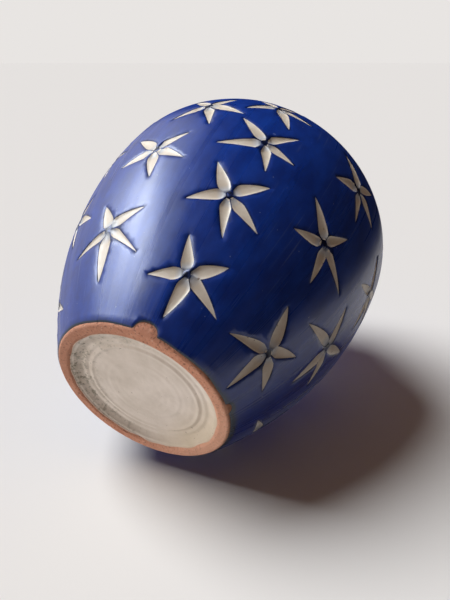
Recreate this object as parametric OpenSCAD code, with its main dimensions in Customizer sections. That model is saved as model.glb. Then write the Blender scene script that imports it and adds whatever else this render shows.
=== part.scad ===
/* [Body] */
// Diameter across the foot, over the glaze
foot_d = 84; // [76:1:92]
// Diameter at the belly, the widest place
belly_d = 164; // [152:1:174]
// Height of the belly above the table
belly_h = 117; // [108:1:126]
// Radius of the arc that turns the shoulder in
shoulder_r = 64; // [59:1:68]
// Thickness of the thrown clay wall
wall_t = 5.5; // [4.5:0.5:7]

/* [Foot] */
// Width of the bare foot ring
ring_w = 6.5; // [5:0.5:9]
// Depth of the hollow under the base
recess_h = 4; // [3:0.5:6]
// Thickness of the clay floor
floor_t = 7; // [5:0.5:9]

/* [Neck] */
// Diameter of the neck at its waist, over the glaze
neck_d = 68; // [62:1:74]
// Radius of the curve that runs from the shoulder into the rim
neck_curve_r = 14; // [12:0.5:18]
// Height of the rim above the neck's waist
rim_rise = 10; // [8:0.5:11]

/* [Pouring lip] */
// How far the lip reaches out past the rim
lip_reach = 10; // [7:0.5:12]
// Width of the lip at its top edge
lip_w = 36; // [30:1:40]
// Height over which the lip swells out of the neck
lip_h = 18; // [15:0.5:20]
// Thickness of the lip
lip_t = 4; // [3:0.5:5]

/* [Handle] */
// Width of the strap
handle_w = 24; // [18:1:28]
// Thickness of the strap
handle_t = 10; // [8:0.5:12]
// Distance from the jug's axis to the outside of the strap
handle_reach = 112; // [106:1:118]
// Depth of the strap's middle below the rim, where it leaves the neck
handle_drop = 13; // [11:0.5:15]
// Radius of the upper bend, at the middle of the strap
bend_r = 30; // [24:1:34]
// Radius of the long lower bow, at the middle of the strap
bow_r = 80; // [72:1:95]
// How far the smoothed joints stand out round the strap
joint_swell = 2; // [1:0.5:3]
// Length of the smoothed joints along the strap
joint_l = 7; // [5:0.5:10]

/* [Glaze] */
// Thickness of the blue coat
glaze_t = 0.8; // [0.5:0.1:1.2]
// Thickness of the cream coat inside and under the base
liner_t = 0.6; // [0.4:0.1:1]
// Height at which the blue coat stops above the table
glaze_line = 1; // [0.8:0.1:2.5]
// Diameter of the bare finger marks in the coat's lower edge
mark_d = 9; // [5:0.5:12]

/* [Stars] */
// Distance from a star's middle to the start of its petals
petal_start = 3.5; // [3:0.25:5]
// Distance from a star's middle to the widest place of its petals
petal_belly = 8; // [7:0.5:10]
// Width of a petal at its widest
petal_w = 5.25; // [4:0.25:6.5]
// Distance from a star's middle to its petals' tips
star_r = 20; // [17:0.5:22]
// How far the cream glaze lies below the blue coat's surface
star_sink = 0.4; // [0.2:0.05:0.45]

/* [Hidden] */
$fn = 64;
slack = 1;
lower_steps = 12;
shoulder_steps = 10;
neck_steps = 6;
bead_steps = 8;
edge_steps = 6;
blue = "#1f2f78";
cream = "#c9bfa9";
clay = "#bd7a5a";

// Star places: height in percent of the body's height, and angle round the jug from the handle
star_places = [
    [11.5, -89], [13, -147], [14, 165], [21, 124], [13, 74], [14, 34], [13, -8], [16, -49],
    [29.5, -126], [41, -160], [35, 164], [46, 130], [32.5, 93], [37.5, 58], [36.5, 20], [35.5, -18],
    [40, -53], [34, -90],
    [54.5, -125], [66.5, -159], [55.5, 165], [68.5, 138], [76.5, 161], [55.5, 98], [61.5, 64], [57, 34],
    [59, -30], [64.5, -64], [58, -93], [78.5, -118], [80.5, -88], [79.5, 108], [81, 78], [81, 46],
    [83, -46]];
// Percents that part the low stars from the middle ones and these from the high ones
star_bands = [0, 25, 50, 100];
// Direction of each petal from straight up, and its length as a part of the star's radius
petals = [[47, 0.9], [116, 1], [170, 1.05], [246, 0.95], [322, 1]];
// Stars lean one way low on the wall and the other way high up, by so many degrees a percent
star_upright = 31;
star_lean = 0.35;
// Width of a petal halfway from its widest place to its tip, as a part of its full width
petal_taper = 0.66;
// The petals are cut this deep below the star's middle, past the wall's fall at their tips
cut_depth = 0.3 * star_r;
// Angles round the jug of the bare finger marks
mark_angles = [159, -134];

foot_r = foot_d / 2;
belly_r = belly_d / 2;
// The lower wall is one arc from the foot to the belly
lower_r = (pow(belly_r - foot_r, 2) + pow(belly_h, 2)) / (2 * (belly_r - foot_r));
lower_x = belly_r - lower_r;
shoulder_x = belly_r - shoulder_r;
// The neck's hollow curve is tangent to the shoulder's arc
neck_x = neck_d / 2 + neck_curve_r;
neck_rise = sqrt(pow(shoulder_r + neck_curve_r, 2) - pow(neck_x - shoulder_x, 2));
waist_h = belly_h + neck_rise;
jug_h = waist_h + rim_rise;
clay_in = glaze_t;
hollow_in = glaze_t + wall_t;
liner_in = hollow_in + liner_t;
neck_base_h = meeting_h(0);
floor_h = recess_h + floor_t;
recess_r = foot_r - glaze_t - ring_w;
// The rim is rounded with a bead as thick as the wall and its coat
bead_h = jug_h - wall_t / 2;
bead_inner = neck_radius(bead_h, hollow_in);
// Step over the bead at which the blue coat stops, inside the rim
coat_steps = 7;

lip_slope = 0.65;
lip_foot_r = lip_w / 2 - lip_slope * lip_h;
lip_x = neck_radius(bead_h, 0) + lip_reach - lip_w / 2;

handle_h = jug_h - handle_drop;
bend_x = handle_reach - handle_t / 2 - bend_r;
bend_h = handle_h - bend_r;
bow_x = bend_x - (bow_r - bend_r);
top_joint_x = neck_radius(handle_h, 0) + joint_l;
// Angle on the bow at which its middle meets the lower wall's arc
bow_to_wall = norm([bow_x - lower_x, bend_h - belly_h]);
wall_turn = acos((pow(bow_to_wall, 2) + pow(bow_r, 2) - pow(lower_r, 2)) / (2 * bow_to_wall * bow_r));
bow_end = wall_turn + atan2(belly_h - bend_h, lower_x - bow_x);
joint_turn = joint_l / bow_r * 180 / PI;
sunk_turn = 8;

// Height at which the shoulder's arc passes into the neck's curve, for a surface this far inside
function meeting_h(inset) =
    belly_h + neck_rise * (shoulder_r - inset) / (shoulder_r + neck_curve_r);

// Radius of the neck at a height, for a surface this far inside
function neck_radius(h, inset) = neck_x - sqrt(pow(neck_curve_r + inset, 2) - pow(h - waist_h, 2));

// Radius of the body's outside at a height
function body_radius(h) = h < belly_h
    ? lower_x + sqrt(pow(lower_r, 2) - pow(belly_h - h, 2))
    : shoulder_x + sqrt(pow(shoulder_r, 2) - pow(h - belly_h, 2));

// Slope of the body's outside at a height, from upright
function body_lean(h) = h < belly_h
    ? asin((h - belly_h) / lower_r)
    : asin((h - belly_h) / shoulder_r);

// Points of an arc between two angles from level
function arc(x, h, r, from, to, steps) =
    [for (i = [0:steps]) let (a = from + (to - from) * i / steps) [x + r * cos(a), h + r * sin(a)]];

// Points of a list in the other order, and without the first one
function reversed(list) = [for (i = [len(list) - 1:-1:0]) list[i]];
function rest(list) = [for (i = [1:len(list) - 1]) list[i]];

// Points of the lower wall at these heights, for a surface this far inside the glaze
function foot_curve(inset, heights) =
    [for (h = heights) [lower_x + sqrt(pow(lower_r - inset, 2) - pow(belly_h - h, 2)), h]];

// Half section of the lower wall from a height to the belly
function lower_curve(inset, low) =
    let (r = lower_r - inset)
    arc(lower_x, belly_h, r, asin((low - belly_h) / r), 0, lower_steps);

// Half section of the shoulder from the belly to the neck
function shoulder_curve(inset) =
    let (r = shoulder_r - inset)
    arc(shoulder_x, belly_h, r, 0, asin((meeting_h(inset) - belly_h) / r), shoulder_steps);

// Half section of the neck between two heights
function neck_curve(inset, low, high, steps) =
    let (r = neck_curve_r + inset)
    arc(neck_x, waist_h, r, 180 - asin((low - waist_h) / r), 180 - asin((high - waist_h) / r), steps);

// Half section of the wall from a height up to the seam with the neck
function wall_curve(inset, low) = concat(
    lower_curve(inset, low),
    rest(shoulder_curve(inset)),
    inset > 0 ? rest(neck_curve(inset, meeting_h(inset), neck_base_h, 2)) : []);

// Half section of the body from the blue coat's lower edge up to the seam with the neck
function body_curve(inset) =
    concat(foot_curve(inset, [glaze_line, recess_h]), wall_curve(inset, floor_h));

// Half section of the rounded rim, from its outer edge some steps over its top
function bead_curve(inset, steps) =
    let (outer = neck_radius(bead_h, inset), r = (outer - bead_inner) / 2)
    arc(outer - r, bead_h, r, 0, 180 * steps / bead_steps, steps);

// Half section of the neck with its rim
function rim_curve(inset, steps) =
    concat(neck_curve(inset, neck_base_h, bead_h, neck_steps), rest(bead_curve(inset, steps)));

// A ring between an outer and an inner half section
module turned(outer, inner) {
    rotate_extrude() polygon(concat(outer, reversed(inner)));
}

// A solid up to the axis, inside a half section
module turned_solid(outer) {
    turned(outer, [[0, outer[0].y], [0, outer[len(outer) - 1].y]]);
}

// The jug below and above the neck's seam as if solid
module solid_body(inset) {
    turned_solid(body_curve(inset));
}

module solid_neck(inset) {
    turned_solid(rim_curve(inset, bead_steps / 2));
}

// Cone of the pouring lip, this far inside its glaze and up to a height
module lip_cone(inset, top) {
    low = jug_h - lip_h + max(0, (inset - lip_foot_r) / lip_slope);
    low_r = max(0, lip_foot_r - inset);
    translate([-lip_x, 0, low])
        cylinder(h = top - low, r1 = low_r, r2 = low_r + (top - low) * lip_slope);
}

// The way that the water runs out over the lip
module pour_channel() {
    lip_cone(glaze_t + lip_t, jug_h + slack);
}

// Outline of the strap's section: flat faces with round edges
function strap_outline(inset) =
    let (r = handle_t / 2 - inset, y = (handle_w - handle_t) / 2)
    concat(arc(0, y, r, 0, 180, edge_steps), arc(0, -y, r, 180, 360, edge_steps));

// Section of the strap, or of the coat round it
module strap_section(outer, inner) {
    difference() {
        polygon(strap_outline(outer));
        if (inner > outer) polygon(strap_outline(inner));
    }
}

// The strap bent in the upright plane, about a point level with the bend's middle
module strap_arc(x, r, from, to, outer, inner) {
    translate([x, 0, bend_h]) rotate([90, 0, 0]) rotate([0, 0, from])
        rotate_extrude(angle = to - from) translate([r, 0]) strap_section(outer, inner);
}

// The strap running level, from one distance off the axis to another
module strap_level(from, to, outer, inner) {
    translate([to, 0, handle_h]) rotate([90, 0, -90])
        linear_extrude(to - from) rotate(90) strap_section(outer, inner);
}

// The strap, or its coat, between the two joints
module strap(outer, inner) {
    strap_level(top_joint_x, bend_x, outer, inner);
    strap_arc(bend_x, bend_r, 0, 90, outer, inner);
    strap_arc(bow_x, bow_r, 0, bow_end + joint_turn, outer, inner);
}

// Swollen clay of the upper joint, or its coat, sunk into the neck
module top_joint(outer, inner) {
    strap_level(neck_d / 4, top_joint_x, outer - joint_swell, inner - joint_swell);
}

// Swollen clay of the lower joint, or its coat, sunk into the belly
module root_joint(outer, inner) {
    strap_arc(bow_x, bow_r, bow_end - sunk_turn, bow_end + joint_turn,
        outer - joint_swell, inner - joint_swell);
}

// Outline of one petal: swelling quickly from the star's middle, then running out to a point
module petal_outline(tip) {
    slim = (petal_belly + tip) / 2;
    slim_w = petal_w * petal_taper;
    polygon([[petal_start, 0], [petal_belly, petal_w / 2], [slim, slim_w / 2], [tip, 0],
        [slim, -slim_w / 2], [petal_belly, -petal_w / 2]]);
}

// The petals of one star, cut square through the wall
module star_cut(h, lean) {
    translate([body_radius(h), 0, h]) rotate([0, 90 - body_lean(h), 0]) translate([0, 0, -cut_depth])
        for (p = petals)
            linear_extrude(cut_depth + slack) rotate(180 - p[0] - lean) petal_outline(star_r * p[1]);
}

// All stars whose middles lie between two percents of the body's height
module star_cuts(low, high) {
    for (place = star_places)
        if (place[0] >= low && place[0] < high)
            rotate([0, 0, place[1]])
                star_cut(place[0] / 100 * neck_base_h, star_lean * (star_upright - place[0]));
}

// Bare places where fingers held the foot in the glaze bath
module finger_marks() {
    for (angle = mark_angles)
        rotate([0, 0, angle]) rotate([0, 90, 0]) cylinder(h = belly_r, r = mark_d / 2);
}

module foot_ring() {
    color(clay)
        turned(foot_curve(clay_in, [0, glaze_line, recess_h]), [[recess_r, 0], [recess_r, recess_h]]);
}

module floor_disc() {
    color(clay) turned_solid(foot_curve(clay_in, [recess_h, floor_h]));
}

module body_wall() {
    color(clay) turned(wall_curve(clay_in, floor_h), wall_curve(hollow_in, floor_h));
}

module neck_collar() {
    color(clay) difference() {
        turned(rim_curve(clay_in, bead_steps), neck_curve(hollow_in, neck_base_h, bead_h, neck_steps));
        pour_channel();
    }
}

module pouring_lip() {
    color(clay) difference() {
        lip_cone(clay_in, bead_h);
        pour_channel();
        solid_neck(clay_in);
    }
}

module handle_strap() {
    color(clay) strap(clay_in, clay_in);
}

module handle_top_joint() {
    color(clay) difference() {
        top_joint(clay_in, clay_in);
        solid_neck(clay_in);
    }
}

module handle_root_joint() {
    color(clay) difference() {
        root_joint(clay_in, clay_in);
        solid_body(clay_in);
    }
}

module body_glaze() {
    color(blue) difference() {
        turned(body_curve(0), body_curve(clay_in));
        star_cuts(star_bands[0], star_bands[3]);
        finger_marks();
        root_joint(clay_in, clay_in);
    }
}

module neck_glaze() {
    color(blue) difference() {
        turned(rim_curve(0, coat_steps), rim_curve(clay_in, coat_steps));
        lip_cone(clay_in, jug_h + slack);
        top_joint(clay_in, clay_in);
    }
}

module lip_glaze() {
    color(blue) difference() {
        lip_cone(0, bead_h);
        lip_cone(clay_in, bead_h + slack);
        solid_neck(0);
    }
}

module handle_glaze() {
    color(blue) {
        strap(0, clay_in);
        difference() {
            top_joint(0, clay_in);
            solid_neck(0);
        }
        difference() {
            root_joint(0, clay_in);
            solid_body(0);
        }
    }
}

module liner_glaze() {
    outer = concat(wall_curve(hollow_in, floor_h),
        rest(neck_curve(hollow_in, neck_base_h, bead_h, neck_steps)));
    inner = concat([[0, floor_h], [0, floor_h + liner_t]], wall_curve(liner_in, floor_h + liner_t),
        rest(neck_curve(liner_in, neck_base_h, bead_h, neck_steps)));
    color(cream) difference() {
        turned(outer, inner);
        pour_channel();
    }
}

module base_glaze() {
    color(cream) translate([0, 0, recess_h - liner_t]) cylinder(h = liner_t, r = recess_r);
}

// Cream glaze in a band of stars, on the clay and a little below the blue coat's surface
module star_band(band) {
    color(cream) intersection() {
        star_cuts(star_bands[band], star_bands[band + 1]);
        turned(body_curve(star_sink), body_curve(clay_in));
    }
}

module stars_low() {
    star_band(0);
}

module stars_middle() {
    star_band(1);
}

module stars_high() {
    star_band(2);
}

foot_ring();
floor_disc();
body_wall();
neck_collar();
pouring_lip();
handle_strap();
handle_top_joint();
handle_root_joint();
body_glaze();
neck_glaze();
lip_glaze();
handle_glaze();
liner_glaze();
base_glaze();
stars_low();
stars_middle();
stars_high();
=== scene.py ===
import math

import bpy
import numpy as np
from mathutils import Matrix, Vector, noise
from mathutils.geometry import delaunay_2d_cdt


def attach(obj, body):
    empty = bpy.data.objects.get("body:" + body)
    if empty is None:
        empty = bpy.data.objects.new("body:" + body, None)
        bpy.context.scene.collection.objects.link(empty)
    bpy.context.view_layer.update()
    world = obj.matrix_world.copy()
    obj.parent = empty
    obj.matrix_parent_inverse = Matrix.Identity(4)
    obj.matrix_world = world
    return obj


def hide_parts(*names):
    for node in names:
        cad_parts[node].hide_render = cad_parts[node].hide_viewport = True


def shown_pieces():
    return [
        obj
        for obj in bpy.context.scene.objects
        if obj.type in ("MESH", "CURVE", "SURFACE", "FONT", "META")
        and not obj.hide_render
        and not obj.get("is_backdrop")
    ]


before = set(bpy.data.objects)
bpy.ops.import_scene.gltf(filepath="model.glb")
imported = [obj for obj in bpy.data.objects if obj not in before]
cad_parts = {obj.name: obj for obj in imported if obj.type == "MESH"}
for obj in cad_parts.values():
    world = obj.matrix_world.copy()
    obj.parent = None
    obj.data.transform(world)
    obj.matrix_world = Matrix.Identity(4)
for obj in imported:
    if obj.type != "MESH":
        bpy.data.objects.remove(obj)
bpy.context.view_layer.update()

# Sizes are in millimetres, as in the solids, and meshes are made in metres
MM = 0.001
draw = np.random.default_rng(7).uniform

# Body, neck and rim
foot_r = 42.0
belly_r = 82.0
belly_h = 117.0
shoulder_r = 64.0
neck_r = 34.0
neck_curve_r = 14.0
rim_rise = 10.0
wall_t = 6.6
glaze_t = 0.8
liner_t = 0.6
floor_h = 11.6
floor_fillet = 6.0

# Foot ring: its side, its rounded outer edge and its worn slope to the recess
ring_w = 6.5
ring_top_h = 7.5
ring_lean = 0.12
ring_edge_h = 1.6
ring_round = 1.5
slope_w = 2.2
slope_h = 1.3
slope_start = 2.0

# Base in its recess, with turned grooves: part of the base's radius, and depth
recess_h = 3.4
base_t = 0.5
base_fillet_w = 4.2
base_fillet_h = 2.2
base_grooves = [(0.5, 0.08), (0.76, 0.28), (0.86, 0.1)]
groove_w = 0.8
groove_lip = 1.8
tool_mark_h = 0.022

# Lower edge of the blue coat, with bare finger marks: angle round the jug, width and height
glaze_line = 0.9
finger_marks = [(159, 10.0, 3.4), (-134, 5.0, 1.8)]
mark_swell = 0.95
# Fall of the coat to that edge, over a width that grows on the side where the glaze gathers
foot_fall = 0.35
foot_fall_w = 0.8
foot_zone = 6
gather_w = 1.8
gather_angle = math.radians(-118)
gather_spread = math.radians(24)
# Bare stretch of the rim inside the blue coat's upper edge
rim_bare = 2.4

# Pouring lip, opposite the handle
lip_reach = 10.0
lip_h = 18.0
lip_dip = 0.8
lip_half_angle = math.radians(38)
liner_lip_reach = lip_reach * 1.2

# Handle: a level stretch from inside the neck, a bend, and a bow to the belly
handle_w = 24.0
handle_t = 10.0
handle_reach = 112.0
handle_drop = 13.0
handle_root = 10.0
bend_r = 30.0
bow_r = 80.0
bow_end = math.radians(-57)
strap_hollow = 0.7
# Greatest depth of the strap's ends in the wall
handle_sunk = 5.0

# Derived heights and arc centres of the outline
lower_r = ((belly_r - foot_r) ** 2 + belly_h ** 2) / (2 * (belly_r - foot_r))
lower_x = belly_r - lower_r
shoulder_x = belly_r - shoulder_r
neck_x = neck_r + neck_curve_r
neck_rise = math.sqrt((shoulder_r + neck_curve_r) ** 2 - (neck_x - shoulder_x) ** 2)
waist_h = belly_h + neck_rise
jug_h = waist_h + rim_rise
neck_base_h = belly_h + neck_rise * shoulder_r / (shoulder_r + neck_curve_r)
bead_r = wall_t / 2
# The rim's bead starts where the neck's curve leaves room for it under the top
bead_start_h = (jug_h - bead_r + bead_r * waist_h / neck_curve_r) / (1 + bead_r / neck_curve_r)


def wall_r(h):
    """Radius of the glazed outside at a height below the belly."""
    return lower_x + math.sqrt(lower_r ** 2 - (belly_h - h) ** 2)


# Derived radii of the foot ring's side, its slope and the base
ring_r = wall_r(ring_edge_h) - glaze_t
slope_r = ring_r - ring_w + slope_start
slope_end = slope_r - slope_w
base_r = foot_r - glaze_t - ring_w + 0.2

# Stars: height in percent of the body's height, and angle round the jug from the handle
star_places = [
    (11.5, -89), (13, -147), (14, 165), (21, 124), (13, 74), (14, 34), (13, -8), (16, -49),
    (29.5, -126), (41, -160), (35, 164), (46, 130), (32.5, 93), (37.5, 58), (36.5, 20), (35.5, -18),
    (40, -53), (34, -90),
    (54.5, -125), (66.5, -159), (55.5, 165), (68.5, 138), (76.5, 161), (55.5, 98), (61.5, 64), (57, 34),
    (59, -30), (64.5, -64), (58, -93), (78.5, -118), (80.5, -88), (79.5, 108), (81, 78), (81, 46),
    (83, -46)]
# Petals of the stars seen well in the photo: direction from straight up, and length
seen_petals = {
    (46, 130): [(48, 18), (107, 18), (168, 19), (249, 19), (309, 22)],
    (55.5, 165): [(41, 19), (106, 17), (155, 18), (243, 22), (311, 21)],
    (35, 164): [(47, 19), (117, 21), (164, 21), (242, 18), (322, 19)],
    (21, 124): [(55, 19), (122, 21), (177, 25), (244, 21), (331, 16)],
    (14, 165): [(53, 17), (117, 21), (180, 20), (250, 16), (334, 17)],
    (41, -160): [(34, 17), (107, 24), (162, 20), (244, 17), (314, 22)],
    (13, -147): [(46, 17), (125, 17), (180, 23), (247, 20), (330, 21)],
    (29.5, -126): [(49, 23), (128, 21), (173, 25), (249, 22), (326, 21)]}
# Petals of the other stars, which lean one way low on the wall and the other way high up
common_petals = [(47, 18), (116, 20), (170, 21), (246, 19), (322, 20)]
common_turn = 6
common_stretch = 2
star_upright = 31
star_lean = 0.35
# No petal reaches further than this from its star's middle
star_reach = 32
# Bands of stars, by the same percents as the solids
star_bands = {"low": (0, 25), "middle": (25, 50), "high": (50, 100)}

# A petal's gouge, which deepens and runs out over parts of its length
petal_start = 1.6
petal_w = 5.25
petal_ridge = 0.22
gouge_depth = 0.65
gouge_head = 0.14
gouge_run_out = 0.8
tip_round = 0.14
# Below this height the gouges stay within the coat's thickness, above the clay of the floor
shallow_h = 11.5
shallow_depth = 0.5
shallow_zone = 8
# Fall of the glaze into the gouge, and the width of its dark line, which is partly pooled glaze and partly
# painted shade
edge_fall = 0.3
edge_round = 0.3
dark_line_and_shade_w = 0.5
# Low rolls of glaze beside a cut and at the foot: height, distance from the edge, and width
edge_roll = (0.1, 1.0, 0.6)
foot_roll = (0.25, 0.9, 0.7)
# Glaze that pooled in the star's middle, with small knots
pool_r = 7.0
knot_r = 2.6
knot_h = 0.5
knot_size = 1.5

# Unevenness in layers of noise: height, size of the hills, and seed
coat_waves = [(0.16, 34.0, 3), (0.05, 9.0, 4)]
foot_edge_waves = [(0.35, 9.0, 1)]
rim_edge_waves = [(0.5, 12.0, 2)]
ring_waves = [(0.07, 1.3, 5), (0.1, 6.0, 6)]
base_waves = [(0.12, 16.0, 8), (0.04, 3.0, 9)]
lap_waves = [(0.7, 7.0, 11)]
handle_waves = [[(0.12, 14.0, seed)] for seed in (20, 21, 22)]

# Spacing of the coat's mesh, and its distance from cuts and edges
field_step = 2.6
row_step = field_step * 0.866
rim_step = 0.9
rim_zone = 14
cut_gap = 1.0
foot_gap = 1.4
foot_rows = [0.5, 1.0]
# Rows of points in a gouge: part of its half width, first and last part of its length, and count
gouge_rows = [(0.0, 0.06, 0.97, 14), (0.45, 0.1, 0.9, 10), (-0.45, 0.1, 0.9, 10),
              (0.8, 0.1, 0.85, 10), (-0.8, 0.1, 0.85, 10)]
# Counts of points along a petal's side, round the jug and round the strap
petal_count = 17
edge_count = 520
liner_count = 144
foot_count = 360
base_count = 240
strap_count = 40
# Smallest ring of a turned piece, which a fan of faces closes
tip_r = 0.4


def ease(part):
    """A rise from 0 to 1 that starts steeply and ends level."""
    return np.sin(np.clip(part, 0, 1) * math.pi / 2)


def hump(distance, width):
    """A soft hump, 1 at its middle."""
    return np.exp(-(distance / width) ** 2)


def roll(distance, height, middle, width):
    """A hump of this height and width, with its middle at a distance."""
    return height * hump(distance - middle, width)


def angle_from(angle, middle):
    """Angle from a middle, between minus and plus half a turn."""
    return (angle - middle + math.pi) % (2 * math.pi) - math.pi


def round_jug(r, angle, z):
    """Points at a radius, an angle and a height round the jug's axis."""
    return np.stack([r * np.cos(angle), r * np.sin(angle), z + 0 * angle], 1)


def flat_length(vectors):
    """Length of vectors along their first two axes."""
    return np.hypot(vectors[:, 0], vectors[:, 1])


def left_of(vectors):
    """Unit vectors square to others in a plane, on their left."""
    return np.stack([-vectors[:, 1], vectors[:, 0]], 1) / np.linalg.norm(vectors, axis=1)[:, None]


def smooth_noise(points, size, seed):
    """Soft noise from -1 to 1, with hills of this size, another for each seed."""
    shift = Vector((seed * 17.3, seed * 5.1, seed * 9.7))
    return np.array([noise.noise(Vector(p) / size + shift) for p in points])


def waves(points, layers):
    """Layers of soft noise, added up."""
    return sum(height * smooth_noise(points, size, seed) for height, size, seed in layers)


# Outline of the outside, and its flat map

def arc(x, z, r, start, end, turned_in=False, step=0.3):
    """Points of an arc in the half section, with the normals that point out of the clay."""
    count = max(2, int(abs(end - start) * r / step))
    a = np.linspace(start, end, count)
    side = -1 if turned_in else 1
    return np.stack([x + r * np.cos(a), z + r * np.sin(a), side * np.cos(a), side * np.sin(a)], 1)


def outline():
    """Half section of the glazed outside, from the foot up and over the rim: radius, height, normal."""
    bead_lean = math.asin((bead_start_h - waist_h) / neck_curve_r)
    bead_x = neck_x - (neck_curve_r + bead_r) * math.cos(bead_lean)
    bead_z = waist_h + (neck_curve_r + bead_r) * math.sin(bead_lean)
    shoulder_end = math.asin((neck_base_h - belly_h) / shoulder_r)
    pieces = [
        arc(lower_x, belly_h, lower_r, -math.asin(belly_h / lower_r), 0),
        arc(shoulder_x, belly_h, shoulder_r, 0, shoulder_end),
        arc(neck_x, waist_h, neck_curve_r, math.pi + shoulder_end, math.pi - bead_lean, True),
        arc(bead_x, bead_z, bead_r, -bead_lean, math.pi - bead_lean, step=0.1)]
    return np.concatenate([pieces[0]] + [p[1:] for p in pieces[1:]])


OUTLINE = outline()
# Number of its highest point, on top of the rim
TOP = OUTLINE[:, 1].argmax()
STEPS = flat_length(np.diff(OUTLINE, axis=0))
# Length along the outline, and the same length measured in radii, which keeps angles on a flat map
LENGTH = np.concatenate([[0], np.cumsum(STEPS)])
MIDDLE_R = (OUTLINE[1:, 0] + OUTLINE[:-1, 0]) / 2
TURN = np.concatenate([[0], np.cumsum(STEPS / MIDDLE_R)])


def at_length(length):
    """Radius, height and normal of the outline at a length along it."""
    return [np.interp(length, LENGTH, OUTLINE[:, k]) for k in range(4)]


def length_at_height(h):
    """Length along the outline at a height, below the top of the rim."""
    return np.interp(h, OUTLINE[:TOP, 1], LENGTH[:TOP])


def pull_lip(points, reach):
    """Draws the rim opposite the handle out into a pouring lip."""
    x, y, z = points.T
    angle = np.arctan2(y, -x)
    across = np.cos(np.clip(np.abs(angle) / lip_half_angle, 0, 1) * math.pi / 2) ** 2
    rise = ease((z - jug_h + lip_h) / lip_h) ** 1.3
    radius = np.maximum(np.hypot(x, y), 1e-6)
    stretch = 1 + reach * across * rise / radius
    return np.stack([x * stretch, y * stretch, z - lip_dip * across * rise ** 3], 1)


def on_body(length, angle, lift):
    """Points of the outside at a length up the outline and an angle, lifted off it."""
    r, z, nr, nz = at_length(length)
    return pull_lip(round_jug(r + nr * lift, angle, z + nz * lift), lip_reach)


def flat_map(length, angle):
    """Place on the flat map of a point of the outside: a ring whose angles are true."""
    rho = np.exp(np.interp(length, LENGTH, TURN))
    return np.stack([rho * np.cos(angle), rho * np.sin(angle)], 1)


def from_flat_map(places):
    """Length up the outline and angle of points of the flat map."""
    turn = np.log(flat_length(places))
    return np.interp(turn, TURN, LENGTH), np.arctan2(places[:, 1], places[:, 0])


# Stars

class Petal:
    """One gouge of a star, in the star's own plane: first across to the east, then up."""

    def __init__(self, direction, length, room):
        turn = math.radians(direction)
        self.room = math.radians(room)
        self.axis = np.array([math.sin(turn), math.cos(turn)])
        self.side = np.array([math.cos(turn), -math.sin(turn)])
        self.start = petal_start + draw(-0.4, 0.7)
        self.length = length - self.start
        self.width = petal_w * draw(0.88, 1.15)
        self.swell = draw(0.13, 0.32)
        self.blunt = draw(0.5, 0.95)
        self.skew = draw(-0.35, 0.35)
        self.slant = draw(-0.4, 0.4)
        self.depth = gouge_depth * draw(0.8, 1.15)
        self.bend = draw(-0.8, 0.8)
        self.crease = draw(-0.3, 0.3)
        self.sharp = draw(3.0, 6.0)
        self.taper = draw(0.95, 1.6)
        t = (1 - np.cos(np.linspace(0, math.pi, petal_count))) / 2
        self.outline = np.concatenate([self.place(t, 1), self.place(t, -1)[-2::-1]])

    def half(self, t):
        """Half the width at a part of the length, blunt at the inner end and clear of other petals."""
        swell = self.blunt + (1 - self.blunt) * ease(t / self.swell)
        fall = np.clip((t - self.swell) / (1 - self.swell), 0, 1)
        free = (self.start + t * self.length) * math.tan(self.room) - petal_ridge
        body = (1 - tip_round) * (1 - fall ** self.taper) + tip_round * np.sqrt(1 - fall ** 2)
        return np.minimum(self.width / 2 * swell * body, free)

    def middle(self, t):
        """How far the petal's middle line lies off its axis."""
        return self.bend * t ** 2 + self.skew * self.half(t)

    def place(self, t, part):
        """Points at parts of the length and the half width, with the inner end cut aslant."""
        half = self.half(t)
        u = self.start + t * self.length + self.slant * part * half * (1 - t) ** 3
        v = part * half + self.middle(t)
        return u[:, None] * self.axis + v[:, None] * self.side

    def local(self, points):
        """Part of the length, and distance across as a part of the half width, within the petal."""
        t = np.clip((points @ self.axis - self.start) / self.length, 0, 1)
        across = points @ self.side - self.middle(t)
        return t, np.clip(across / np.maximum(self.half(t), 0.05), -1, 1)

    def distance(self, points):
        """Distance from the outline, negative inside it."""
        a = self.outline
        b = np.roll(a, -1, axis=0)
        edge = b - a
        rel = points[:, None, :] - a[None]
        along = np.clip((rel * edge).sum(2) / (edge * edge).sum(1), 0, 1)
        gap = np.hypot(*np.moveaxis(rel - along[..., None] * edge, 2, 0)).min(1)
        crosses = (a[:, 1] > points[:, 1:]) != (b[:, 1] > points[:, 1:])
        rise = np.where(np.abs(edge[:, 1]) < 1e-9, 1e-9, edge[:, 1])
        left = points[:, :1] < a[:, 0] + (points[:, 1:] - a[:, 1]) / rise * edge[:, 0]
        inside = (crosses & left).sum(1) % 2 == 1
        return np.where(inside, -gap, gap)

    def sunk(self, points):
        """Depth of the gouge: steep at the inner end, running out at the tip."""
        t, c = self.local(points)
        c = np.where(c > self.crease, (c - self.crease) / (1 - self.crease),
                     (self.crease - c) / (1 + self.crease))
        along = np.minimum(ease(t / gouge_head), (1 - t) / gouge_run_out)
        return self.depth * along * (1 - c ** self.sharp)

    def inner_points(self):
        """Points inside the outline that carry the gouge's form."""
        return np.concatenate([self.place(np.linspace(first, last, count), part)
                               for part, first, last, count in gouge_rows])

    def outer_points(self, gap):
        """Points a little outside the outline."""
        normal = left_of(np.roll(self.outline, -1, axis=0) - np.roll(self.outline, 1, axis=0))
        outward = np.sign((normal * (self.outline - self.outline.mean(0))).sum(1))
        return self.outline + normal * outward[:, None] * gap


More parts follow.
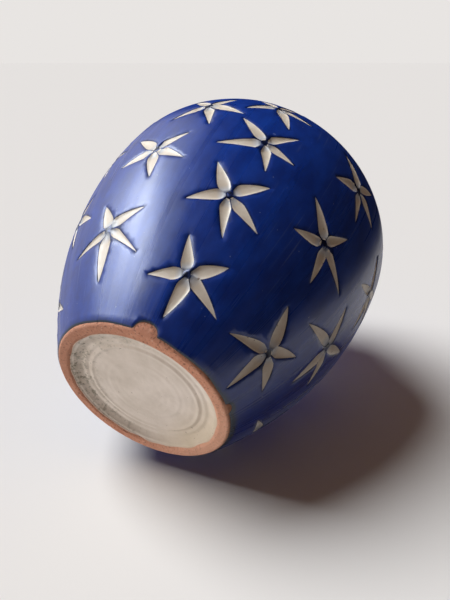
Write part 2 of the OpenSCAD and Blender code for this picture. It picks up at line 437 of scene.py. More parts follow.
class Star:
    """A star of five gouges on the body's wall."""

    def __init__(self, place):
        self.percent, degrees = place
        self.angle = math.radians(degrees)
        self.length = length_at_height(self.percent / 100 * neck_base_h)
        petals = seen_petals.get(place)
        if petals is None:
            lean = star_lean * (star_upright - self.percent)
            petals = [(direction + lean + draw(-common_turn, common_turn),
                       size + draw(-common_stretch, common_stretch))
                      for direction, size in common_petals]
        directions = [p[0] for p in petals]
        gaps = [(b - a) % 360 for a, b in zip(directions, directions[1:] + directions[:1])]
        self.petals = [Petal(*p, min(gaps[i - 1], gaps[i]) / 2) for i, p in enumerate(petals)]

    def to_plane(self, length, angle):
        """Points of the wall in the star's own plane."""
        return np.stack([angle_from(angle, self.angle) * at_length(length)[0], length - self.length], 1)

    def to_flat_map(self, points):
        """Points of the star's own plane on the flat map."""
        length = self.length + points[:, 1]
        return flat_map(length, self.angle + points[:, 0] / at_length(length)[0])


# Meshes

def add_object(name, data):
    """A new object in the scene."""
    made = bpy.data.objects.new(name, data)
    bpy.context.scene.collection.objects.link(made)
    return made


def make_piece(name, shape, material, slot, *nodes):
    """A smooth piece from points, faces and values at the points, standing for these nodes."""
    points, faces, attributes = shape
    mesh = bpy.data.meshes.new(name)
    mesh.from_pydata((points * MM).tolist(), [], faces)
    for key, values in attributes.items():
        layer = mesh.attributes.new(key, "FLOAT", "POINT")
        layer.data.foreach_set("value", np.asarray(values, np.float32))
    mesh.shade_smooth()
    mesh.materials.append(material)
    mesh.validate()
    piece = add_object(name, mesh)
    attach(piece, "root")
    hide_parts(*nodes)
    return piece


def shell(points, inner, faces, attributes):
    """Closes a skin with an inner face, and walls along its open edges."""
    count = len(points)
    edges = np.concatenate([faces[:, [0, 1]], faces[:, [1, 2]], faces[:, [2, 0]]])
    keys = edges[:, 0] * count + edges[:, 1]
    back = edges[:, 1] * count + edges[:, 0]
    start, end = edges[~np.isin(keys, back)].T
    walls = np.concatenate([points[start], points[end], inner[end], inner[start]])
    n = len(start)
    first = 2 * count + np.arange(n)
    quads = np.stack([first + n, first, first + 3 * n, first + 2 * n], 1)
    all_faces = faces.tolist() + (faces[:, ::-1] + count).tolist() + quads.tolist()
    source = np.concatenate([np.arange(count), np.arange(count), start, end, end, start])
    return np.concatenate([points, inner, walls]), all_faces, {k: v[source] for k, v in attributes.items()}


def part_of(points, inner, faces, attributes):
    """The points that some faces use, with the faces renumbered."""
    used = np.unique(faces)
    number = np.zeros(len(points), int)
    number[used] = np.arange(len(used))
    return points[used], inner[used], number[faces], {k: v[used] for k, v in attributes.items()}


def grid_faces(rows, count, closed=False):
    """Faces between rows of points that each go once round."""
    faces = []
    for i in range(rows if closed else rows - 1):
        j = (i + 1) % rows
        for k in range(count):
            m = (k + 1) % count
            faces.append((i * count + k, i * count + m, j * count + m, j * count + k))
    return faces


def fan(first, count, tip):
    """Faces from a ring of points to one point in its middle."""
    return [(first + k, first + (k + 1) % count, tip) for k in range(count)]


def turned(section, count):
    """Points of a section turned about the axis, row by row."""
    angle = np.linspace(0, 2 * math.pi, count, endpoint=False)
    return np.concatenate([round_jug(r, angle, z) for r, z in section])


# Blue coat and stars

def glaze_edge(angle):
    """Height of the blue coat's lower edge, with its two bare finger marks."""
    h = glaze_line + waves(round_jug(foot_r, angle, 0), foot_edge_waves)
    for mark, width, height in finger_marks:
        gap = angle_from(angle, math.radians(mark))
        h = h + height * np.sqrt(np.clip(1 - (gap * foot_r / (width / 2)) ** 2, 0, 1))
    return h


def field_points(stars):
    """Staggered rows of points over the outside, clear of its edges and the petals."""
    places = []
    length = length_at_height(glaze_line) + 1.6
    row = 0
    bead_length = length_at_height(bead_start_h)
    while length < LENGTH[-1] - 0.5:
        count = int(2 * math.pi * at_length(length)[0] / field_step)
        angle = (np.arange(count) + 0.5 * (row % 2)) * 2 * math.pi / count
        places.append(np.stack([np.full(count, length), angle], 1))
        near_rim = np.clip((length - bead_length + rim_zone) / rim_zone, 0, 1)
        length += row_step * (1 - near_rim) + rim_step * near_rim
        row += 1
    length, angle = np.concatenate(places).T
    keep = at_length(length)[1] > glaze_edge(angle) + foot_gap
    for star in stars:
        plane = star.to_plane(length, angle)
        near = np.flatnonzero((flat_length(plane) < star_reach) & keep)
        for petal in star.petals:
            keep[near[petal.distance(plane[near]) < cut_gap]] = False
    return flat_map(length[keep], angle[keep])


def triangulate(stars):
    """Triangles of the flat map, cut along the petals' outlines, and the star of each one in a petal."""
    angle = np.linspace(-math.pi, math.pi, edge_count, endpoint=False)
    foot_length = length_at_height(glaze_edge(angle))
    rim_length = LENGTH[-1] - rim_bare + waves(round_jug(neck_r, angle, 0), rim_edge_waves)
    loops = [flat_map(foot_length, angle), flat_map(rim_length, angle)]
    owners = [-1, -1]
    extra = [flat_map(foot_length + gap, angle) for gap in foot_rows]
    for number, star in enumerate(stars):
        for petal in star.petals:
            # A petal's outline runs clockwise on the map, and loops run the other way
            loops.append(star.to_flat_map(petal.outline)[::-1])
            owners.append(number)
            extra.append(star.to_flat_map(petal.inner_points()))
            extra.append(star.to_flat_map(petal.outer_points(edge_round)))
    extra.append(field_points(stars))
    starts = np.cumsum([0] + [len(loop) for loop in loops])
    faces = [list(range(a, b)) for a, b in zip(starts, starts[1:])]
    places = [Vector(p) for p in np.concatenate(loops + extra)]
    flat, _, triangles, _, _, origins = delaunay_2d_cdt(places, [], faces, 0, 1e-7, True)
    # The coat lies within the rim's loop, number 1, and outside the foot's, number 0
    kept = [i for i, found in enumerate(origins) if 1 in found and 0 not in found]
    owner = [owners[max(origins[i])] for i in kept]
    return np.array(flat), np.array([triangles[i] for i in kept]), np.array(owner)


def carve(stars, length, angle):
    """Lift of every point of the outside, and values at the points for the materials."""
    count = len(length)
    base = on_body(length, angle, np.zeros(count))
    lift = waves(base, coat_waves)
    knots = smooth_noise(base, knot_size, 10)
    edge, middle, deep, below = np.zeros((4, count))
    along = np.full(count, 0.5)
    for star in stars:
        plane = star.to_plane(length, angle)
        near = np.flatnonzero(flat_length(plane) < star_reach)
        points = plane[near]
        reach = flat_length(points)
        middle[near] = np.maximum(middle[near], np.clip(1 - reach / pool_r, 0, 1))
        lift[near] += hump(reach, knot_r) * knot_h * (knots[near] - 0.5)
        for petal in star.petals:
            gap = petal.distance(points)
            outside = np.maximum(gap, 0)
            inside = gap < 1e-6
            sunk = petal.sunk(points)
            fall = np.where(inside, edge_fall + sunk, edge_fall * hump(outside, edge_round))
            below[near] = np.maximum(below[near], fall)
            lift[near] += np.where(inside, 0, roll(gap, *edge_roll))
            # Width of the dark line round a petal, which is partly pooled glaze and partly painted shade
            edge[near] = np.maximum(edge[near], hump(outside, dark_line_and_shade_w))
            deep[near] = np.where(inside, sunk / gouge_depth, deep[near])
            along[near] = np.where(inside, petal.local(points)[0], along[near])
    above = np.clip(at_length(length)[1] - shallow_h, 0, shallow_zone)
    below = np.minimum(below, shallow_depth + above / 2)
    rolled = length - length_at_height(glaze_edge(angle))
    gathered = foot_fall_w + gather_w * hump(angle - gather_angle, gather_spread)
    foot_edge = np.where(rolled < foot_zone, hump(np.maximum(rolled, 0), gathered), 0)
    lift = lift - below + roll(rolled, *foot_roll) - foot_fall * foot_edge
    return lift, {"edge": edge, "middle": middle, "deep": deep, "along": along, "foot_edge": foot_edge}


def body_pieces(blue, cream):
    """The blue coat with its gouged stars, and the cream glaze in the gouges, cut from one skin."""
    stars = [Star(place) for place in star_places]
    flat, triangles, owner = triangulate(stars)
    # The map's triangles face into the jug
    triangles = triangles[:, ::-1]
    length, angle = from_flat_map(flat)
    lift, attributes = carve(stars, length, angle)
    points = on_body(length, angle, lift)
    inner = on_body(length, angle, lift - glaze_t)

    def cut_out(chosen):
        return shell(*part_of(points, inner, triangles[chosen], attributes))

    pieces = [make_piece("blue_coat", cut_out(owner < 0), blue, "blue_glaze", "body_glaze", "neck_glaze",
                         "lip_glaze", "body_wall", "neck_collar", "pouring_lip")]
    percent = np.array([star.percent for star in stars])
    for band, (low, high) in star_bands.items():
        shape = cut_out(np.isin(owner, np.flatnonzero((percent >= low) & (percent < high))))
        pieces.append(make_piece("star_petals_" + band, shape, cream, "cream_glaze", "stars_" + band))
    return pieces


# Inside, foot and base

def liner_piece(cream):
    """The cream glaze inside, from the top of the rim down to the floor, with its turning marks."""
    bead = OUTLINE[TOP:][::4, :2] - OUTLINE[TOP:][::4, 2:] * 0.12
    wall = OUTLINE[:TOP][::-1]
    wall = wall[wall[:, 1] < bead_start_h]
    inside = wall[:, :2] - wall[:, 2:] * wall_t
    inside = inside[inside[:, 1] > floor_h + floor_fillet][::6]
    turn = np.linspace(0, math.pi / 2, 8)[1:]
    fillet = inside[-1] + floor_fillet * np.stack([np.cos(turn) - 1, -np.sin(turn)], 1)
    rings = np.linspace(fillet[-1, 0], tip_r, 14)[1:]
    floor = np.stack([rings, fillet[-1, 1] + 0.3 * np.cos(rings / 3.2) - 0.3], 1)
    section = np.concatenate([bead, inside, fillet, floor])
    behind = section + liner_t * left_of(np.gradient(section, axis=0))
    points = np.concatenate([turned(section, liner_count), [[0, 0, section[-1, 1]]]])
    outer = np.concatenate([turned(behind, liner_count), [[0, 0, section[-1, 1] - liner_t]]])
    tip = len(points) - 1
    faces = grid_faces(len(section), liner_count) + fan(tip - liner_count, liner_count, tip)
    triangles = np.array([(f[k + 1], f[k], f[0]) for f in faces for k in range(1, len(f) - 1)])
    shape = shell(pull_lip(points, liner_lip_reach), pull_lip(outer, liner_lip_reach), triangles, {})
    make_piece("inside_glaze", shape, cream, "cream_glaze", "liner_glaze")


def ring_slope(part):
    """Height of the ring's worn slope at a part of its width."""
    return slope_h * np.clip(part, 0, 1) ** 1.6


def foot_piece(clay):
    """The bare foot ring: a rounded outer edge, a flat face and a worn slope to the recess."""
    side = [(wall_r(h) - glaze_t - ring_lean * (h - ring_edge_h), h)
            for h in np.linspace(ring_top_h, ring_edge_h, 16)]
    edge_r = ring_r - ring_round
    edge = [(edge_r + ring_round * math.cos(a), ring_round - ring_round * math.sin(a))
            for a in np.linspace(0, math.pi / 2, 8)[1:]]
    flat = [(r, 0.0) for r in np.linspace(edge_r, slope_r, 9)[1:]]
    slope = [(slope_r - slope_w * t, ring_slope(t)) for t in np.linspace(0, 1, 8)[1:]]
    back = [(slope_end - 0.3, 2.4), (slope_end - 0.2, recess_h + 0.4), (slope_end + 3, 7.0)]
    section = side + edge + flat + slope + back
    points = turned(section, foot_count)
    x, y, z = points.T.copy()
    angle = np.arctan2(y, x)
    grain = waves(points, ring_waves)
    swell = np.zeros(len(points))
    for mark, width, height in finger_marks:
        gap = angle_from(angle, math.radians(mark))
        across = np.exp(-(gap * foot_r / (width / 2 + 0.3)) ** 4)
        swell += mark_swell * across * np.clip(1 - np.abs(z - height / 2) / (height / 2 + 2), 0, 1)
    upright = np.clip((z - 0.4) / 1.5, 0, 1)
    out = np.where(np.hypot(x, y) > edge_r - 0.1, (grain + swell) * upright, 0)
    down = np.where(z < 1.5, np.maximum(grain, -0.02) * (1 - upright), 0)
    points += np.stack([out * np.cos(angle), out * np.sin(angle), down], 1)
    faces = [f[::-1] for f in grid_faces(len(section), foot_count, True)]
    return make_piece("foot", (points, faces, {}), clay, "terracotta", "foot_ring")


def base_piece(cream):
    """The cream base in its recess: turned rings, a hollow fillet, and a lap on to the foot ring."""
    r = np.linspace(tip_r, base_r, 110)
    fillet = np.clip((r - base_r + base_fillet_w) / base_fillet_w, 0, 1)
    z = recess_h - base_fillet_h * fillet ** 1.7
    for part, depth in base_grooves:
        z = z - roll(r, depth, base_r * part, groove_w)
        z = z + roll(r, 0.7 * depth, base_r * part + groove_lip, groove_w)
    z = z - tool_mark_h * np.cos(r * 1.9) * np.clip(r / 12, 0, 1) * (1 - fillet)
    lap = np.linspace(0, 1, 6)
    back_h = recess_h + base_t
    section = np.concatenate([np.stack([r, z], 1), np.stack([slope_end + lap, 0 * lap], 1),
                              [[base_r, back_h], [tip_r, back_h]]])
    points = np.concatenate([turned(section, base_count), [[0, 0, recess_h], [0, 0, back_h]]])
    radius = flat_length(points)
    front = slice(0, len(r) * base_count)
    points[front, 2] += waves(points[front], base_waves) * np.clip((base_r - radius[front]) / 3, 0, 1)
    # The glaze laps unevenly on to the ring's slope, and its last row is sunk into the clay
    lapped = slice(len(r) * base_count, (len(r) + len(lap)) * base_count)
    on_slope = points[lapped]
    reach = 0.8 + waves(on_slope * (1, 1, 0) / radius[lapped, None] * slope_r, lap_waves)
    lap_r = slope_end + (radius[lapped] - slope_end) * np.clip(reach, 0.2, 1.6)
    on_slope[:, :2] *= (lap_r / radius[lapped])[:, None]
    on_slope[:, 2] = ring_slope((slope_r - lap_r) / slope_w) - np.repeat(0.14 - 0.24 * lap ** 4, base_count)
    low_tip = len(points) - 2
    faces = grid_faces(len(section), base_count) + fan(low_tip - base_count, base_count, low_tip + 1)
    faces = [f[::-1] for f in faces] + fan(0, base_count, low_tip)
    return make_piece("base", (points, faces, {}), cream, "cream_glaze", "base_glaze")


# Handle

def handle_path():
    """Middle line of the strap from inside the neck to inside the belly, in the upright plane."""
    handle_h = jug_h - handle_drop
    bend_x = handle_reach - handle_t / 2 - bend_r
    bend_h = handle_h - bend_r
    bow_x = bend_x - (bow_r - bend_r)

    def turn(x, r, angles):
        return [(x + r * math.cos(a), bend_h + r * math.sin(a)) for a in angles]

    level = [(x, handle_h) for x in np.linspace(neck_r - handle_root, bend_x, 16)[:-1]]
    bend = turn(bend_x, bend_r, np.linspace(math.pi / 2, 0, 24))
    bow = turn(bow_x, bow_r, np.linspace(0, bow_end, 36)[1:])
    return np.array(level + bend + bow)


def handle_piece(blue):
    """The pulled strap, slightly hollow along its back, spreading where it joins the jug."""
    path = handle_path()
    run = np.concatenate([[0], np.cumsum(flat_length(np.diff(path, axis=0)))])
    fine = np.linspace(0, run[-1], 110)
    middle = np.stack([np.interp(fine, run, path[:, k]) for k in range(2)], 1)
    out = left_of(np.gradient(middle, axis=0))
    a = np.linspace(0, 2 * math.pi, strap_count, endpoint=False)
    c, s = np.cos(a), np.sin(a)
    across = np.sign(c) * np.abs(c) ** 0.62
    thick = np.sign(s) * np.abs(s) ** 0.8
    end_top = np.clip(1 - (fine - 10) / 15, 0, 1)
    end_low = np.clip(1 - (run[-1] - 13 - fine) / 16, 0, 1)
    flare = end_top ** 2 + end_low ** 2
    part = fine / run[-1]
    width = handle_w / 2 * (1.03 - 0.12 * part + 0.24 * flare)
    depth = handle_t / 2 * (1.04 - 0.1 * part + 0.45 * flare)
    hollow = strap_hollow * (1 - np.abs(across)) ** 1.2 * (thick > 0)
    lift = np.outer(depth, thick) - np.outer(1 - np.minimum(1, flare), hollow)
    points = np.stack([middle[:, :1] + out[:, :1] * lift, np.outer(width, across),
                       middle[:, 1:] + out[:, 1:] * lift], 2).reshape(-1, 3)
    points += np.stack([waves(points, layers) for layers in handle_waves], 1)
    # The strap's ends stay within the wall
    limit = np.interp(points[:, 2], OUTLINE[:TOP, 1], OUTLINE[:TOP, 0]) - handle_sunk
    points[:, :2] *= np.maximum(1, limit / flat_length(points))[:, None]
    last = len(points) - strap_count
    ends = [range(strap_count)[::-1], range(last, last + strap_count)]
    shape = points, grid_faces(len(fine), strap_count) + ends, {}
    make_piece("handle", shape, blue, "blue_glaze", "handle_glaze", "handle_strap", "handle_top_joint",
               "handle_root_joint")


# Materials

class Nodes:
    """A node tree, with short calls for the nodes used here."""

    def __init__(self, tree):
        self.tree = tree

    def feed(self, socket, value):
        """Links an input to another node, or sets it."""
        if isinstance(value, bpy.types.NodeSocket):
            self.tree.links.new(value, socket)
        else:
            socket.default_value = value

    def put(self, kind, inputs=None, **settings):
        """A node with its settings and its inputs."""
        made = self.tree.nodes.new(kind)
        for key, value in settings.items():
            setattr(made, key, value)
        for key, value in (inputs or {}).items():
            self.feed(made.inputs[key], value)
        return made

    def place(self, stretch=(1, 1, 1)):
        """Place in the jug's own space, drawn out along its axes."""
        place = self.put("ShaderNodeTexCoord").outputs["Object"]
        return self.put("ShaderNodeMapping", {"Vector": place, "Scale": stretch}).outputs["Vector"]

    def speckle(self, scale, detail=2.0, stretch=(1, 1, 1), roughness=0.5):
        """Noise in the jug's own space, with bumps per metre."""
        inputs = {"Vector": self.place(stretch), "Scale": scale, "Detail": detail, "Roughness": roughness}
        return self.put("ShaderNodeTexNoise", inputs).outputs["Fac"]

    def streaks(self, scale, detail, stretch):
        """Noise drawn out from foot to rim, as a brush was drawn, with lines per metre."""
        facing = self.put("ShaderNodeVectorMath", {0: self.place((1, 1, 0))}, operation="NORMALIZE")
        wall = self.put("ShaderNodeVectorMath", {0: facing.outputs["Vector"], 1: (belly_r * MM,) * 3,
                                                 2: self.place((0, 0, stretch))}, operation="MULTIPLY_ADD")
        inputs = {"Vector": wall.outputs["Vector"], "Scale": scale, "Detail": detail}
        return self.put("ShaderNodeTexNoise", inputs).outputs["Fac"]

    def ramp(self, value, low, high, to_low=0.0, to_high=1.0):
        """A value's range drawn out to another one, and cut off there."""
        inputs = {"Value": value, "From Min": low, "From Max": high, "To Min": to_low, "To Max": to_high}
        return self.put("ShaderNodeMapRange", inputs, clamp=True).outputs["Result"]

    def math(self, operation, first, second):
        """Arithmetic on two values."""
        return self.put("ShaderNodeMath", {0: first, 1: second}, operation=operation).outputs["Value"]

    def times(self, first, second):
        """The product of two values."""
        return self.math("MULTIPLY", first, second)

    def from_mesh(self, name):
        """A value at the mesh's points, or nought where it has none."""
        return self.put("ShaderNodeAttribute", attribute_name=name).outputs["Fac"]

    def seen_rays(self):
        """One for rays that show the stage or mirror it, and nought for those that carry light."""
        path = self.put("ShaderNodeLightPath").outputs
        mirrored = self.math("MAXIMUM", path["Is Glossy Ray"], path["Is Transmission Ray"])
        return self.math("MAXIMUM", path["Is Camera Ray"], mirrored)


class Finish(Nodes):
    """A material whose colours are laid on one over another."""

    def __init__(self, name):
        self.material = bpy.data.materials.new(name)
        self.material.use_nodes = True
        super().__init__(self.material.node_tree)
        self.shader = self.tree.nodes["Principled BSDF"]
        self.colour = None
        self.normal = None

    def lay(self, share, colour):
        """Another colour over those laid on so far."""
        self.colour = self.put("ShaderNodeMix", {0: share, 6: self.colour, 7: (*colour, 1)},
                               data_type="RGBA").outputs[2]

    def tint(self, value, low, high, share, colour):
        """Another colour, whose share grows as a value goes from low to high."""
        self.lay(self.ramp(value, low, high, 0, share), colour)

    def ground(self, value, low, high, first, second):
        """The first layer: a colour that turns to another as a value goes from low to high."""
        self.colour = (*first, 1)
        self.tint(value, low, high, 1, second)

    def bump(self, height, distance, strength):
        """A small relief, on top of those made so far."""
        inputs = {"Height": height, "Distance": distance, "Strength": strength}
        if self.normal:
            inputs["Normal"] = self.normal
        self.normal = self.put("ShaderNodeBump", inputs).outputs["Normal"]

    def finished(self, roughness, gloss=0.5):
        """The material, with its layers, roughness and gloss at the shader."""
        self.feed(self.shader.inputs["Base Color"], self.colour)
        self.feed(self.shader.inputs["Roughness"], roughness)
        self.feed(self.shader.inputs["Specular IOR Level"], gloss)
        if self.normal:
            self.feed(self.shader.inputs["Normal"], self.normal)
        return self.material


def blue_glaze():
    """Deep satin blue, brushed on in upright strokes, darker at its edges, where the dark lines at the cuts
    are partly painted shade.
    """
    coat = Finish("blue_glaze")
    brush = coat.streaks(150, 3, 0.03)
    strokes = coat.streaks(420, 3, 0.05)
    threads = coat.ramp(coat.streaks(900, 2, 0.03), 0.63, 0.72)
    mottle = coat.speckle(130, 5, (1, 1, 0.5), 0.65)
    coat.ground(mottle, 0.35, 0.68, (0.003, 0.026, 0.225), (0.006, 0.049, 0.365))
    coat.tint(strokes, 0.45, 0.75, 0.10, (0.012, 0.070, 0.400))
    scratched = coat.ramp(coat.speckle(22, 1), 0.5, 0.6, 0, 0.35)
    coat.lay(coat.times(threads, scratched), (0.15, 0.21, 0.42))
    # Blue that ran into the stars' middles: pale smears with dark pools between them
    middle = coat.from_mesh("middle")
    run = coat.speckle(420, 3)
    smear = coat.times(coat.ramp(run, 0.52, 0.62), coat.ramp(middle, 0.3, 0.7, 0, 0.5))
    coat.lay(smear, (0.25, 0.32, 0.45))
    pool = coat.times(coat.ramp(run, 0.60, 0.46), coat.ramp(middle, 0.45, 0.72, 0, 0.92))
    coat.lay(pool, (0.002, 0.004, 0.016))
    # Dark lines where the glaze is cut, partly glaze pooled at the cut and partly painted shade on the
    # gouge's wall, and a dark lower edge
    uneven = coat.ramp(coat.speckle(150, 2), 0.4, 0.6, 0.3, 1.0)
    cut = coat.times(coat.ramp(coat.from_mesh("edge"), 0.35, 0.8), uneven)
    coat.lay(coat.times(cut, 0.9), (0.001, 0.003, 0.016))
    coat.tint(coat.from_mesh("foot_edge"), 0.1, 0.7, 0.9, (0.012, 0.028, 0.040))
    coat.tint(coat.speckle(700, 1), 0.79, 0.81, 0.6, (0.40, 0.46, 0.62))
    coat.bump(strokes, 0.00006, 0.25)
    coat.bump(threads, 0.00003, 0.2)
    coat.bump(coat.speckle(1100, 2), 0.00005, 0.5)
    # The satin glaze keeps its gloss low at a glancing angle
    glancing = coat.put("ShaderNodeLayerWeight", {"Blend": 0.5}).outputs["Facing"]
    gloss = coat.times(coat.ramp(cut, 0.0, 1.0, 0.7, 0.15), coat.ramp(glancing, 0.65, 0.92, 1.0, 0.04))
    return coat.finished(coat.ramp(brush, 0.35, 0.65, 0.26, 0.36), gloss)


def cream_petal():
    """Cream glaze in the gouges: tan where deep as painted shade, bluish at the star's middle and at the
    tips.
    """
    coat = Finish("cream_petal")
    coat.ground(coat.speckle(260, 4), 0.35, 0.7, (0.88, 0.82, 0.72), (0.79, 0.71, 0.60))
    # Painted shade: tan darkening in the deepest part of each gouge
    coat.tint(coat.from_mesh("deep"), 0.45, 1.0, 0.3, (0.46, 0.37, 0.26))
    along = coat.from_mesh("along")
    coat.tint(along, 0.85, 1.0, 0.6, (0.40, 0.45, 0.58))
    coat.tint(along, 0.24, 0.08, 0.65, (0.50, 0.58, 0.70))
    coat.tint(along, 0.07, 0.01, 0.8, (0.06, 0.09, 0.18))
    coat.tint(coat.speckle(520, 1), 0.77, 0.80, 0.7, (0.20, 0.13, 0.07))
    coat.bump(coat.speckle(900, 3), 0.00008, 0.6)
    return coat.finished(0.4)


def cream_base():
    """Cream glaze under the base, with grime in fine specks towards one side and in the corner, under a
    darker film there that is partly grime and partly painted shade cast by the ring.
    """
    coat = Finish("cream_base")
    x, y, _ = coat.put("ShaderNodeSeparateXYZ", {"Vector": coat.place()}).outputs
    flat = coat.put("ShaderNodeVectorMath", {0: coat.place((1, 1, 0))}, operation="LENGTH")
    radius = flat.outputs["Value"]
    coat.ground(coat.speckle(90, 5), 0.35, 0.7, (0.84, 0.73, 0.64), (0.72, 0.62, 0.53))
    # Darker film towards one side and in the corner by the ring: partly grime, partly painted shade cast by
    # the ring's inner edge
    side = coat.math("ADD", coat.times(y, 22.0), coat.times(x, 6.0))
    corner = coat.ramp(radius, 0.022, 0.033, 0, 0.4)
    grime_and_shade = coat.math("ADD", coat.ramp(side, -0.3, 0.8, 0, 0.6), corner)
    grime_and_shade_film = coat.times(grime_and_shade, coat.ramp(coat.speckle(160, 5), 0.35, 0.65, 0.15, 0.65))
    coat.lay(grime_and_shade_film, (0.46, 0.38, 0.29))
    specks = coat.ramp(coat.speckle(420, 6, roughness=0.75), 0.53, 0.60)
    coat.lay(coat.times(specks, coat.ramp(grime_and_shade, 0.4, 0.95, 0, 0.8)), (0.14, 0.12, 0.07))
    coat.tint(coat.times(y, -30.0), 0.5, 1.0, 0.4, (0.62, 0.48, 0.27))
    # Clay that shows through the thin lap on the ring
    coat.tint(radius, slope_end * MM, (slope_end + 1) * MM, 0.6, (0.58, 0.36, 0.24))
    coat.tint(coat.speckle(700, 1), 0.76, 0.79, 0.6, (0.20, 0.11, 0.07))
    coat.bump(coat.speckle(420, 4), 0.0003, 0.6)
    return coat.finished(0.45)


def cream_inside():
    """Cream glaze inside: smooth and glossy, a little uneven."""
    coat = Finish("cream_inside")
    coat.ground(coat.speckle(60, 4), 0.35, 0.7, (0.64, 0.58, 0.46), (0.56, 0.49, 0.37))
    coat.tint(coat.speckle(800, 1), 0.77, 0.8, 0.5, (0.28, 0.18, 0.10))
    coat.bump(coat.speckle(200, 3), 0.0002, 0.3)
    return coat.finished(0.28)


def terracotta():
    """Bare fired clay: matt and grainy, with pale grit and tiny whitish specks that are partly painted
    glints, darker pores and one side darker.
    """
    clay = Finish("terracotta")
    clay.ground(clay.speckle(120, 4), 0.3, 0.7, (0.54, 0.225, 0.135), (0.70, 0.325, 0.205))
    clay.tint(clay.speckle(650, 4, roughness=0.7), 0.5, 0.75, 0.75, (0.74, 0.42, 0.30))
    clay.tint(clay.speckle(800, 3, (1, 1, 0.9)), 0.56, 0.7, 0.8, (0.20, 0.070, 0.040))
    y = clay.put("ShaderNodeSeparateXYZ", {"Vector": clay.place()}).outputs["Y"]
    clay.tint(y, 0.01, 0.04, 0.4, (0.30, 0.16, 0.11))
    clay.tint(y, -0.01, -0.04, 0.5, (0.80, 0.47, 0.33))
    # Tiny whitish specks, partly pale grit and partly painted glints
    clay.tint(clay.speckle(1500, 1), 0.72, 0.77, 0.8, (0.72, 0.60, 0.50))
    clay.bump(clay.speckle(900, 4, roughness=0.65), 0.0006, 0.9)
    return clay.finished(0.85)


# Camera, at the place and angle from which the photo was taken
camera_place = Vector((-219.7, 17.7, -125.7)) * MM
camera_right = Vector((-0.4523, -0.8069, 0.3799))
camera_up = Vector((-0.5087, 0.5833, 0.6333))
camera_back = camera_right.cross(camera_up).normalized()
# Focal length for a sensor along the photo's long side
camera_lens = 33.6
camera_sensor = 36


def add_camera():
    """The camera, which stands where the photo's did."""
    data = bpy.data.cameras.new("camera")
    data.sensor_width = camera_sensor
    data.lens = camera_lens
    data.clip_start = 0.01
    data.clip_end = 50
    camera = add_object("camera", data)
    axes = Matrix((camera_right, camera_back.cross(camera_right), camera_back)).transposed()
    camera.matrix_world = Matrix.Translation(camera_place) @ axes.to_4x4()
    bpy.context.scene.camera = camera


# Stage and lights, in metres, with the table that the jug lies on in the photo
table_up = Vector((-0.760, 0.572, 0.309)).normalized()
table_right = (camera_right - table_up * camera_right.dot(table_up)).normalized()
table_away = table_up.cross(table_right)
table_colour = (0.795, 0.80, 0.80)
table_size = 14.0
floor_size = 6.0
card_size = 1.5
# Part of the stage's colour that throws light back
stage_bounce = 0.3
# Window panes: angle over the table, and strength of their upper and lower halves
window_panes = [(-105, 1.15, 0.75), (-80, 1.2, 0.65), (-55, 1.3, 0.35)]
window_colour = (0.84, 0.92, 1.0)


def pale_surface(name, colour):
    """A matt sheet of the stage, seen from its front only, that throws back part of its light."""
    sheet = Finish(name)
    sheet.ground(sheet.seen_rays(), 0, 1, [c * stage_bounce for c in colour], colour)
    behind = sheet.put("ShaderNodeNewGeometry").outputs["Backfacing"]
    clear = sheet.put("ShaderNodeBsdfTransparent").outputs["BSDF"]
    both = sheet.put("ShaderNodeMixShader", {0: behind, 1: sheet.shader.outputs["BSDF"], 2: clear})
    sheet.feed(sheet.tree.nodes["Material Output"].inputs["Surface"], both.outputs["Shader"])
    return sheet.finished(0.9, 0.0)


def add_sheet(name, centre, up, along, size, colour, *hidden_from):
    """A flat sheet of the stage, which some kinds of ray pass by."""
    along = (along - up * along.dot(up)).normalized() * size
    across = up.cross(along)
    corners = [centre + along * i + across * j for i, j in ((-1, -1), (1, -1), (1, 1), (-1, 1))]
    mesh = bpy.data.meshes.new(name)
    mesh.from_pydata([tuple(c) for c in corners], [], [(0, 1, 2, 3)])
    mesh.materials.append(pale_surface(name, colour))
    sheet = add_object(name, mesh)
    for rays in hidden_from:
        setattr(sheet, "visible_" + rays, False)
    sheet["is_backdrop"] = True


def add_stage():
    """The table that the jug lies on in the photo, and a floor for views of it standing."""
    lowest = min((p.matrix_world @ v.co).dot(table_up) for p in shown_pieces() for v in p.data.vertices)
    add_sheet("table", table_up * lowest, table_up, table_right, table_size, table_colour, "shadow")
    # The table's underside lights the far side as its top lights the near one, and isn't seen itself
    add_sheet("table_underside", table_up * (lowest - 0.005), -table_up, table_right, table_size,
              table_colour, "camera", "glossy", "shadow")
    add_sheet("floor", Vector((0, 0, -0.0004)), Vector((0, 0, 1)), Vector((1, 0, 0)), floor_size,
              table_colour, "shadow", "diffuse", "glossy", "transmission")


def add_cards():
    """Dark cards out of the camera's sight, for the darker sides of the room in the glaze."""
    middle = Vector((0, 0, jug_h / 2 * MM))
    for name, right, away, up, facing, shade in (
            ("card_right", 0.4, 0, 1.4, -table_right, 0.02),
            ("card_front", 0.5, -1.2, 1.4, table_away, 0.02),
            ("card_back", 1.35, 0.45, 1.4, -table_away, 0.06),
            ("card_top", 0, 0, 2.4, -table_up, 0.2)):
        centre = middle + table_right * right + table_away * away + table_up * up
        add_sheet(name, centre, facing, table_up + table_away, card_size,
                  (shade, shade * 0.95, shade * 0.9), "camera", "shadow", "diffuse")


def from_table(turn, height):
    """Direction at an angle to the right of straight away, and at a height over the table."""
    turn, height = math.radians(turn), math.radians(height)
    level = table_right * math.sin(turn) + table_away * math.cos(turn)
    return level * math.cos(height) + table_up * math.sin(height)


def group(name, pieces):
    """A collection of the pieces that a lamp shines on."""
    made = bpy.data.collections.new(name)
    for piece in pieces:
        made.objects.link(piece)
    return made


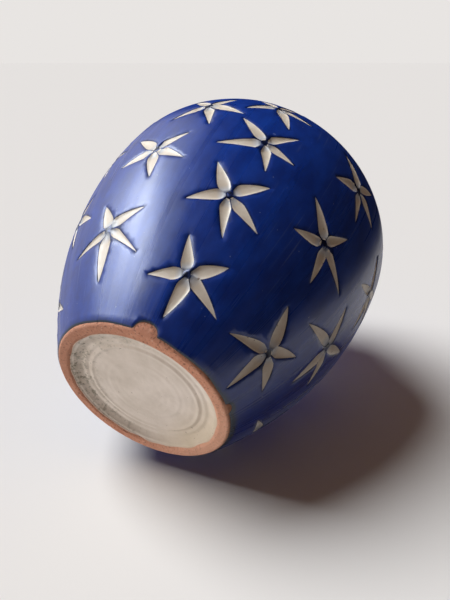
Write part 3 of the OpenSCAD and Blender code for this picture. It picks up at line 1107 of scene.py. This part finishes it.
def add_sun(name, toward, spread, watts, matt=True, glossy=True, colour=(1, 1, 1), lit=None):
    """A broad, even light from one side, for matt light, reflections or both."""
    data = bpy.data.lights.new(name, "SUN")
    data.angle = math.radians(spread)
    data.energy = watts
    data.color = colour
    lamp = add_object(name, data)
    lamp.visible_diffuse = matt
    lamp.visible_glossy = glossy
    lamp.rotation_mode = "QUATERNION"
    lamp.rotation_quaternion = (-toward).to_track_quat("-Z", "Y")
    lamp.light_linking.receiver_collection = lit


def add_lights(front, underneath):
    """A window from the photo's left, the table's glow underneath, and softer lights on the far side."""
    for pane, top, foot in window_panes:
        for height, watts in ((52, top), (34, foot)):
            add_sun("window", from_table(pane, height), 27, watts, matt=False, colour=window_colour,
                    lit=front)
    add_sun("daylight", from_table(-70, 55), 36, 3.4, glossy=False)
    # Light thrown back on to the base and the foot by the near part of the table
    add_sun("table_glow", from_table(-108, -14), 50, 2.1, glossy=False, lit=underneath)
    # Lights for the far side, which the photo doesn't show
    add_sun("far_side", Vector((0.6, -0.25, 0.76)), 44, 2.5, glossy=False)
    add_sun("far_window", Vector((0.75, -0.35, 0.55)), 30, 0.5, matt=False)


def add_room():
    """A pale room in sight and in reflections, which lights the jug with a dim warm light."""
    world = bpy.data.worlds.new("world")
    bpy.context.scene.world = world
    world.use_nodes = True
    room = Nodes(world.node_tree)
    ambient = room.tree.nodes["Background"]
    room.feed(ambient.inputs["Color"], (1.0, 0.60, 0.38, 1))
    room.feed(ambient.inputs["Strength"], 0.10)
    pale = room.put("ShaderNodeBackground", {"Color": (0.808, 0.782, 0.763, 1), "Strength": 1.0})
    both = room.put("ShaderNodeMixShader", {0: room.seen_rays(), 1: ambient.outputs["Background"],
                                            2: pale.outputs["Background"]})
    room.feed(room.tree.nodes["World Output"].inputs["Surface"], both.outputs["Shader"])


blue = blue_glaze()
clay = terracotta()
body = body_pieces(blue, cream_petal())
liner_piece(cream_inside())
foot = foot_piece(clay)
base = base_piece(cream_base())
handle_piece(blue)
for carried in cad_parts.values():
    if not carried.hide_render:
        carried.data.materials.clear()
        carried.data.materials.append(clay)
add_camera()
add_stage()
add_cards()
add_lights(group("front", body + [foot, base]), group("underneath", [foot, base]))
add_room()
bpy.context.scene.view_settings.view_transform = "Standard"
